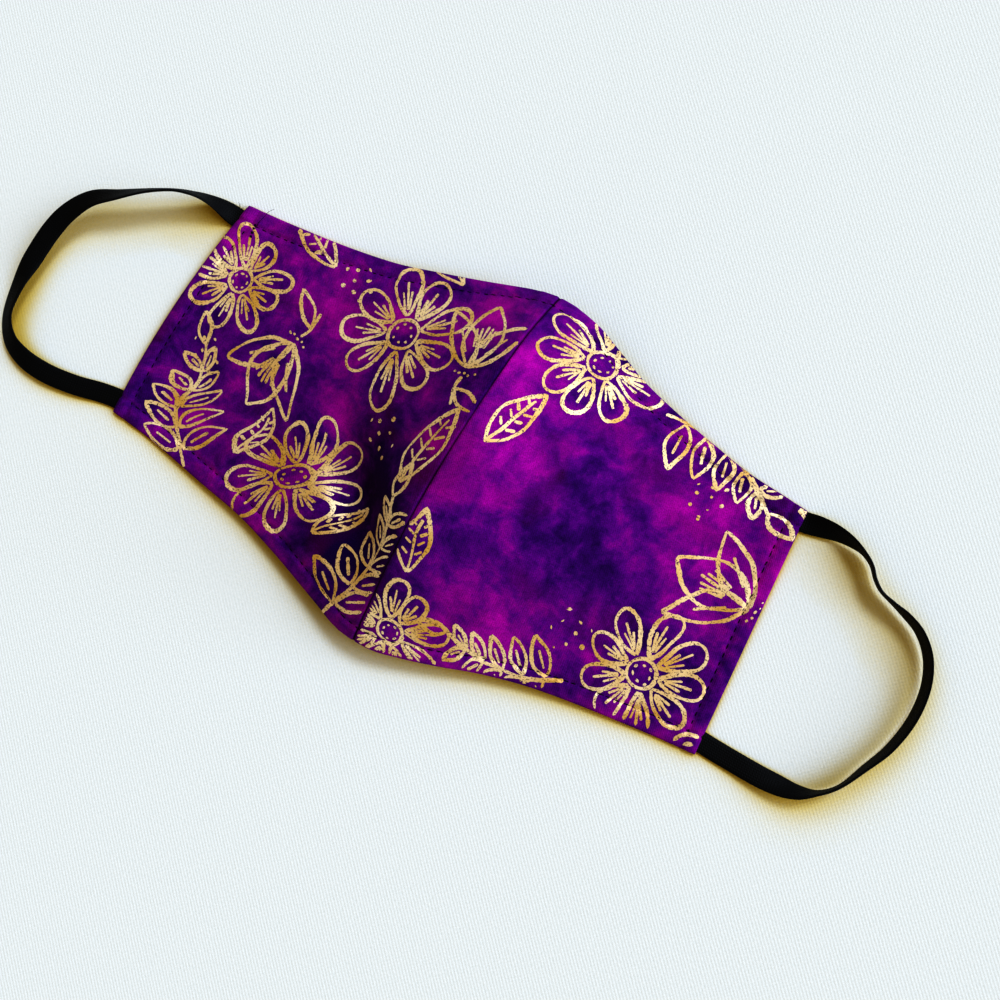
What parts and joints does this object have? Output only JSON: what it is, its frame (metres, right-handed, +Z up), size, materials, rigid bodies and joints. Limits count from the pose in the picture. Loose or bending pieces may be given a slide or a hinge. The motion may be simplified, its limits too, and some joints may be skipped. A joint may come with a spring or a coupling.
{
  "type": "contoured cloth face mask with ear loops",
  "caption": "Contoured cotton face mask of two cloth halves joined at a raised centre seam, with flat elastic ear loops, lying inside down.",
  "frame": {"origin": "middle of the whole mask's footprint, on the surface that it lies on", "axes": "+X across the mask towards its right ear loop as seen from above, +Y from the chin edge to the nose edge, +Z up, out of the mask"},
  "size_m": [0.3088, 0.1192, 0.0351],
  "materials": {
    "cotton": "plain woven cotton, mottled violet and magenta, with metallic gold line print",
    "elastic": "braided flat elastic, black, matt",
    "gold_foil": "grainy metallic gold printed on the cotton",
    "thread": "dark violet sewing thread"
  },
  "bodies": {
    "root": {"left_panel": "cotton", "right_panel": "cotton", "left_ear_loop": "elastic", "right_ear_loop": "elastic"}
  },
  "joints": []
}
